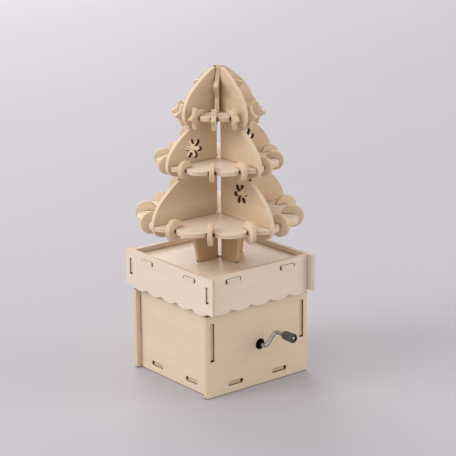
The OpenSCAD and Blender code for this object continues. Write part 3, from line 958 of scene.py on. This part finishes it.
@dataclass
class Box:
    """The box: a floor, four walls and the shelf that the movement stands on."""

    shop: Workshop
    wall_tint: Colour = (0.76, 0.635, 0.485)
    wall_share: float = 0.75
    # The walls get painted contact shade along their foot.
    foot_shade_height: float = 0.8 * MM
    # Darker edges: painted shade on the tenon ends seen in the slots.
    side_edge_painted_shade: Colour = (0.62, 0.49, 0.37)
    floor_edge_painted_shade: Colour = (0.60, 0.46, 0.34)
    hole_reach: float = 5.5 * MM

    def build(self) -> None:
        """Dresses every sheet of the box."""
        dress = self.shop.dress_ply
        walls = replace(self.shop.ply.tinted(self.wall_tint, self.wall_share), foot_shade_height=self.foot_shade_height)
        sides = replace(walls, edge=self.side_edge_painted_shade)
        dress("front_panel", Lie.FACING_FRONT, 1.7, walls, self._crank_hole())
        dress("back_panel", Lie.FACING_FRONT, 4.1, walls)
        dress("left_panel", Lie.FACING_SIDE, 2.6, sides)
        dress("right_panel", Lie.FACING_SIDE, 5.9, sides)
        # The floor's tenon ends in the walls' slots get painted shade.
        dress("bottom_panel", Lie.FLAT, 7.3, replace(self.shop.ply, edge=self.floor_edge_painted_shade))
        dress("movement_shelf", Lie.FLAT, 8.8)
        dress("left_shelf_leg", Lie.FACING_SIDE, 9.4)
        dress("right_shelf_leg", Lie.FACING_SIDE, 10.2)

    def _crank_hole(self) -> CutOut:
        """Finds the scorched hole in the front panel, on the worm's axis.

        Returns:
            The hole.
        """
        front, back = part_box("front_panel")
        low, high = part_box("crank_worm")
        shaft = (low + high) / 2
        return CutOut(Vector((shaft.x, (front.y + back.y) / 2, shaft.z)), self.hole_reach)


@dataclass
class Movement:
    """The music movement: its cast frame, the crank's shaft, the drum and the comb."""

    shop: Workshop
    cast_sanding: float = 0.2 * MM

    def build(self) -> None:
        """Dresses the movement's parts."""
        cast = ("bedplate", "front_crank_bearing", "rear_crank_bearing", "left_drum_bearing",
                "right_drum_bearing", "comb_rest")
        self.shop.dress_hard(ZINC, cast, self.cast_sanding)
        self.shop.dress_hard(SPRING_STEEL, ("comb",))
        self.shop.dress_hard(STEEL, ("comb_screws", "bedplate_screws", "crank_worm", "drum_arbor"))
        self.shop.dress_hard(BRASS, ("tune_drum", "drum_wheel"))


@dataclass
class Crank:
    """The bent steel rod with its turned knob and the rivet that keeps the knob on."""

    shop: Workshop
    neck_r: float = 2.2 * MM
    neck_length: float = 1.9 * MM
    shoulder_step: float = 0.2 * MM
    shoulder_round: float = 0.25 * MM
    rim_round: tuple[Point2, ...] = ((0.0, 0.8 * MM), (0.05 * MM, 0.4 * MM), (0.2 * MM, 0.1 * MM),
                                     (0.4 * MM, 0.0))
    bore_r: float = 0.86 * MM
    cup_wall: float = 0.75 * MM
    cup_depth: float = 1.1 * MM
    cup_lip: Point2 = (0.1 * MM, 0.12 * MM)
    cup_taper: float = 0.05 * MM
    head_r: float = 1.2 * MM
    head_edge: float = 0.1 * MM
    head_hollow: float = 0.02 * MM
    head_rim: float = 0.45
    dome_steps: int = 5

    def build(self) -> None:
        """Dresses the rod, and builds the knob and the rivet head."""
        self.shop.dress_hard(STEEL, ("crank_rod",))
        low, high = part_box("crank_knob")
        axis = Vector(((low.x + high.x) / 2, high.y, (low.z + high.z) / 2))
        self._knob(axis, high.y - low.y, (high.z - low.z) / 2)
        self._rivet(axis)

    def _knob(self, axis: Vector, length: float, rim_r: float) -> None:
        """Builds the knob.

        Args:
            axis: The middle of its inner end.
            length: Its length.
            rim_r: Its radius at the outer end.
        """
        soft, neck = self.shoulder_round, self.neck_length
        waist_r = rim_r - self.shoulder_step
        cup_r = rim_r - self.cup_wall
        cup_floor = length - self.cup_depth
        profile = [(self.bore_r, 0.0), (self.neck_r - soft, 0.0), (self.neck_r - 0.3 * soft, 0.3 * soft),
                   (self.neck_r, soft), (waist_r - soft, neck - soft),
                   (waist_r - 0.3 * soft, neck - 0.2 * soft), (waist_r, neck + soft),
                   *((rim_r - inwards, length - back) for inwards, back in self.rim_round),
                   (cup_r + self.cup_lip[0], length), (cup_r, length - self.cup_lip[1]),
                   (cup_r - self.cup_taper, cup_floor), (self.bore_r, cup_floor)]
        mesh = lathe_mesh("crank_knob_turned", profile, 64)
        material = BLACK_PLASTIC.material(self.shop.effects, "knob_skin", 0.0)
        self.shop.place("crank_knob_turned", mesh, material, "knob", BLACK_PLASTIC.slot, ("crank_knob",),
                        Matrix.Translation(axis))

    def _rivet(self, axis: Vector) -> None:
        """Builds the domed head on the end of the rod.

        Args:
            axis: The middle of the knob's inner end.
        """
        low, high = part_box("knob_retainer")
        length = high.y - low.y
        rim = length * self.head_rim
        dome = [(0.0, self.head_hollow), (self.head_r - self.head_edge, 0.0),
                (self.head_r, self.head_edge), (self.head_r, rim)]
        for k in range(1, self.dome_steps):
            turn = math.pi / 2 * k / self.dome_steps
            dome.append((self.head_r * math.cos(turn), rim + (length - rim) * math.sin(turn)))
        dome.append((0.0, length))
        mesh = lathe_mesh("knob_rivet", dome, 32)
        material = STEEL.material(self.shop.effects, "rivet_steel", 0.9)
        self.shop.place("knob_rivet", mesh, material, "crank", STEEL.slot, ("knob_retainer",),
                        Matrix.Translation((axis.x, high.y, axis.z)))


@dataclass
class Lid:
    """The lift-off lid: a plate between four scalloped flanges."""

    shop: Workshop
    lid_tint: Colour = (0.81, 0.71, 0.61)
    lid_share: float = 0.8
    # A paler edge: painted highlight on the plate's tenons that stand proud of the flanges.
    plate_edge_painted_highlight: Colour = (0.86, 0.78, 0.68)
    plate_roughness: float = 0.41
    plate_gloss: float = 0.65

    def build(self) -> None:
        """Dresses the plate and the flanges."""
        dress = self.shop.dress_ply
        pale = self.shop.ply.tinted(self.lid_tint, self.lid_share)
        polished = replace(pale, edge=self.plate_edge_painted_highlight, roughness=self.plate_roughness,
                           gloss=self.plate_gloss)
        dress("lid_plate", Lie.FLAT, 11.5, polished)
        dress("front_flange", Lie.FACING_FRONT, 12.3, pale)
        dress("back_flange", Lie.FACING_FRONT, 13.7, pale)
        dress("left_flange", Lie.FACING_SIDE, 14.2, pale)
        dress("right_flange", Lie.FACING_SIDE, 15.6, pale)


@dataclass
class Tree:
    """The tree: four wings slotted into three tier plates, with two crossed stars at the top."""

    shop: Workshop
    wing_light: Colour = (0.73, 0.575, 0.40)
    wing_dark: Colour = (0.655, 0.485, 0.315)
    wing_edge: Colour = (0.79, 0.65, 0.47)
    wing_core: Colour = (0.71, 0.55, 0.37)
    plate_tint: Colour = (0.86, 0.76, 0.64)
    plate_share: float = 0.7
    across_flake: Point2 = (23.5 * MM, 168.5 * MM)
    along_flake: Point2 = (26.0 * MM, 137.2 * MM)
    flake_reach: float = 8.2 * MM

    def build(self) -> None:
        """Dresses the wings, the plates and the crossed stars."""
        dress = self.shop.dress_ply
        low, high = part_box("bottom_tier")
        axis = (low + high) / 2
        # The wings get painted shade below the bottom tier.
        wings = replace(self.shop.ply, light=self.wing_light, dark=self.wing_dark, edge=self.wing_edge,
                        core=self.wing_core, under_tier_shade_top=low.z)
        for name, lie, seed, way, flake in (
                ("left_wing", Lie.FACING_FRONT, 21.1, (-1, 0), self.across_flake),
                ("right_wing", Lie.FACING_FRONT, 22.4, (1, 0), self.across_flake),
                ("front_wing", Lie.FACING_SIDE, 23.9, (0, -1), self.along_flake),
                ("back_wing", Lie.FACING_SIDE, 24.5, (0, 1), self.along_flake)):
            middle = Vector((axis.x + way[0] * flake[0], axis.y + way[1] * flake[0], flake[1]))
            dress(name, lie, seed, wings, CutOut(middle, self.flake_reach))
        plates = self.shop.ply.tinted(self.plate_tint, self.plate_share)
        dress("bottom_tier", Lie.FLAT, 25.8, plates)
        dress("middle_tier", Lie.FLAT, 26.6, plates)
        dress("top_tier", Lie.FLAT, 27.3, plates)
        dress("topper_star_across", Lie.TURNED_LEFT, 28.9)
        dress("topper_star_along", Lie.TURNED_RIGHT, 29.2)


class Ornament(Enum):
    """The two shapes that hang on the tiers."""

    DISC = "disc"
    STAR = "star"


@dataclass
class OrnamentRing:
    """Slotted ornaments round the rim of one tier plate, a group of them in each quarter."""

    shop: Workshop
    tier: str
    shape: Ornament
    group: str
    distance: float
    radius: float
    seed: float
    seed_step: float = 0.83
    quarters: tuple[str, ...] = ("back_right", "back_left", "front_left", "front_right")
    per_quarter: int = 3
    slot_half: float = 1.55 * MM
    slot_end: float = -0.7 * MM
    rounding: float = 0.3 * MM
    disc_steps: int = 56
    star_points: int = 5
    star_inner: float = 0.55
    tip_round: float = 1.0 * MM
    tip_steps: int = 3
    tint: Colour = (0.80, 0.68, 0.50)
    most_tint: float = 0.5

    def disc_outline(self) -> list[Point2]:
        """Draws a disc with its slot.

        Returns:
            The outline, in metres.
        """
        mouth = math.pi - math.asin(self.slot_half / self.radius)
        turns = [-mouth + 2 * mouth * k / self.disc_steps for k in range(self.disc_steps + 1)]
        ring = [(self.radius * math.cos(a), self.radius * math.sin(a)) for a in turns]
        return ring + [(self.slot_end, self.slot_half), (self.slot_end, -self.slot_half)]

    def star_outline(self) -> list[Point2]:
        """Draws a rounded star with its slot between two points.

        Returns:
            The outline, in metres.
        """
        inner = self.radius * self.star_inner
        turn = math.pi / self.star_points
        lean = math.atan2(inner * math.sin(turn), self.radius - inner * math.cos(turn))
        centre = self.radius - self.tip_round / math.sin(lean)
        last_point = self.star_points // 2
        ring: list[Point2] = []
        for k in range(-last_point, last_point + 1):
            a = 2 * turn * k
            for j in range(-self.tip_steps, self.tip_steps + 1):
                b = a + j * (math.pi / 2 - lean) / self.tip_steps
                ring.append((centre * math.cos(a) + self.tip_round * math.cos(b),
                             centre * math.sin(a) + self.tip_round * math.sin(b)))
            if k < last_point:
                ring.append((inner * math.cos(a + turn), inner * math.sin(a + turn)))
        last = ring[-1]
        half = self.slot_half
        mouth = (last[0] + inner) * half / last[1] - inner
        return ring + [(mouth, half), (self.slot_end, half), (self.slot_end, -half), (mouth, -half)]

    def build(self) -> None:
        """Builds the ring, one piece for each ornament."""
        outline = self.disc_outline() if self.shape is Ornament.DISC else self.star_outline()
        draw = random.Random(int(self.seed * 100))
        low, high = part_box(f"{self.tier}_tier")
        axis = (low + high) / 2
        count = self.per_quarter * len(self.quarters)
        for k in range(count):
            name = f"{self.tier}_{self.shape.value}_{k + 1:02d}"
            mesh = sheet_mesh(name, outline, self.rounding)
            lie = Lie.FACING_FRONT if k % self.per_quarter else Lie.STANDING_FRONT
            finish = self.shop.ply.tinted(self.tint, draw.uniform(0.0, self.most_tint))
            material = finish.material(self.shop.effects, f"ply_{name}", lie, -SHEET / 2,
                                       self.seed + self.seed_step * k)
            angle = math.pi / count + 2 * math.pi * k / count
            spot = (Matrix.Translation(axis) @ Matrix.Rotation(angle, 4, "Z")
                    @ Matrix.Translation((self.distance, 0, 0)))
            node = f"{self.group}_{self.quarters[k // self.per_quarter]}"
            self.shop.place(name, mesh, material, "lid", self.shop.ply.slot, (node,), spot)


# ------------------------------------------------------------------ studio


def link(name: str, data: bpy.types.ID) -> bpy.types.Object:
    """Puts a studio object in the scene.

    Args:
        name: The object's name.
        data: Its mesh, light or camera.

    Returns:
        The object.
    """
    obj = bpy.data.objects.new(name, data)
    bpy.context.scene.collection.objects.link(obj)
    return obj


@dataclass(frozen=True)
class Softbox:
    """One square soft light that points at the object."""

    name: str
    place: Point3
    size: float
    power: float
    tint: Colour
    aim: Point3 = (0.0, 0.0, 0.1)

    def hang(self) -> None:
        """Hangs the light."""
        data = bpy.data.lights.new(self.name, "AREA")
        data.shape = "SQUARE"
        data.size = self.size
        data.energy = self.power
        data.color = self.tint
        obj = link(self.name, data)
        towards = Vector(self.aim) - Vector(self.place)
        obj.rotation_euler = towards.to_track_quat("-Z", "Y").to_euler()
        obj.location = self.place


@dataclass
class Studio:
    """The pale floor, the soft lights and the camera."""

    eye: Point3 = (-0.7518, -0.9461, 0.4615)
    yaw: float = 0.674
    pitch: float = -0.285
    roll: float = -0.007
    lens: float = 140.33
    sensor: float = 36.0
    clip: Point2 = (0.05, 50.0)
    floor_half: float = 6.0
    floor_tones: tuple[Colour, Colour] = ((0.470, 0.449, 0.488), (0.490, 0.468, 0.507))
    floor_patches: float = 3.0
    floor_roughness: float = 0.7
    floor_gloss: float = 0.1
    room: Colour = (0.36, 0.355, 0.35)
    window: Colour = (0.94, 0.93, 0.94)
    window_side: Point3 = (-0.62, 0.30, 0.72)
    window_range: Point2 = (-0.5, 0.9)
    sheen: Softbox = Softbox("sheen_light", (1.45, 3.85, 1.3), 2.6, 98.0, (1.0, 0.98, 0.98))
    front: Softbox = Softbox("front_light", (1.4, -1.35, 0.6), 1.2, 14.0, (1.0, 0.93, 0.85))
    key_from: Point3 = (-0.62, 0.20, 0.44)
    key_power: float = 1.12
    key_angle: float = math.radians(34)
    key_tint: Colour = (1.0, 0.975, 0.94)

    def build(self) -> None:
        """Builds the whole studio."""
        self._camera()
        self._floor()
        self._room()
        self.sheen.hang()
        self.front.hang()
        self._key()
        bpy.context.scene.view_settings.view_transform = "Standard"

    def _camera(self) -> None:
        """Sets up the camera at the viewing angle."""
        ahead = Vector((math.sin(self.yaw) * math.cos(self.pitch),
                        math.cos(self.yaw) * math.cos(self.pitch), math.sin(self.pitch)))
        level = Vector((math.cos(self.yaw), -math.sin(self.yaw), 0.0))
        above = level.cross(ahead)
        right = level * math.cos(self.roll) + above * math.sin(self.roll)
        up = above * math.cos(self.roll) - level * math.sin(self.roll)
        data = bpy.data.cameras.new("view_camera")
        data.sensor_width = self.sensor
        data.lens = self.lens
        data.clip_start, data.clip_end = self.clip
        obj = link("view_camera", data)
        axes = Matrix((right, up, -ahead)).transposed().to_4x4()
        obj.matrix_world = Matrix.Translation(self.eye) @ axes
        bpy.context.scene.camera = obj

    def _floor(self) -> None:
        """Lays the plain pale floor."""
        h = self.floor_half
        mesh = bpy.data.meshes.new("floor")
        mesh.from_pydata([(-h, -h, 0), (h, -h, 0), (h, h, 0), (-h, h, 0)], [], [(0, 1, 2, 3)])
        mat, s, shader = new_material("painted_floor")
        patches = s.noise(s.add("TexCoord").outputs["Object"], self.floor_patches)
        s.wire(shader, {"Base Color": s.mix(patches, *self.floor_tones),
                        "Roughness": self.floor_roughness, "Specular IOR Level": self.floor_gloss})
        mesh.materials.append(mat)
        obj = link("floor", mesh)

    def _room(self) -> None:
        """Lights the room softly, brighter on the window's side."""
        world = bpy.data.worlds.new("soft_room")
        world.use_nodes = True
        s = NodeSketch(world.node_tree)
        sky = world.node_tree.nodes["Background"]
        way = s.add("TexCoord").outputs["Generated"]
        towards = s.vector("DOT_PRODUCT", way, Vector(self.window_side).normalized())
        s.feed(sky.inputs["Color"], s.mix(s.span(towards, *self.window_range), self.room, self.window))
        bpy.context.scene.world = world

    def _key(self) -> None:
        """Sets the broad soft light from the left."""
        data = bpy.data.lights.new("key_light", "SUN")
        data.energy = self.key_power
        data.angle = self.key_angle
        data.color = self.key_tint
        obj = link("key_light", data)
        obj.rotation_euler = (-Vector(self.key_from)).to_track_quat("-Z", "Y").to_euler()


# ------------------------------------------------------------------ main


def clear_start_scene() -> None:
    """Takes away whatever the start scene holds."""
    for obj in list(bpy.data.objects):
        bpy.data.objects.remove(obj, do_unlink=True)


def main() -> None:
    """Builds every sub-assembly in order."""
    logging.basicConfig(level=logging.INFO, format="%(name)s: %(message)s")
    clear_start_scene()
    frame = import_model()
    shop = Workshop(frame, SharedEffects(), PlyFinish())
    rings = [
        OrnamentRing(shop, "bottom", Ornament.DISC, "bottom_discs", distance=52 * MM, radius=8 * MM,
                     seed=31.0),
        OrnamentRing(shop, "middle", Ornament.DISC, "middle_discs", distance=39 * MM, radius=6.75 * MM,
                     seed=47.0),
        OrnamentRing(shop, "top", Ornament.STAR, "top_stars", distance=25 * MM, radius=9 * MM,
                     seed=63.0),
    ]
    for assembly in (Studio(), Box(shop), Movement(shop), Crank(shop), Lid(shop), Tree(shop), *rings):
        assembly.build()
    LOG.info("%d pieces", len(shop.made))


if __name__ == "__main__":
    main()
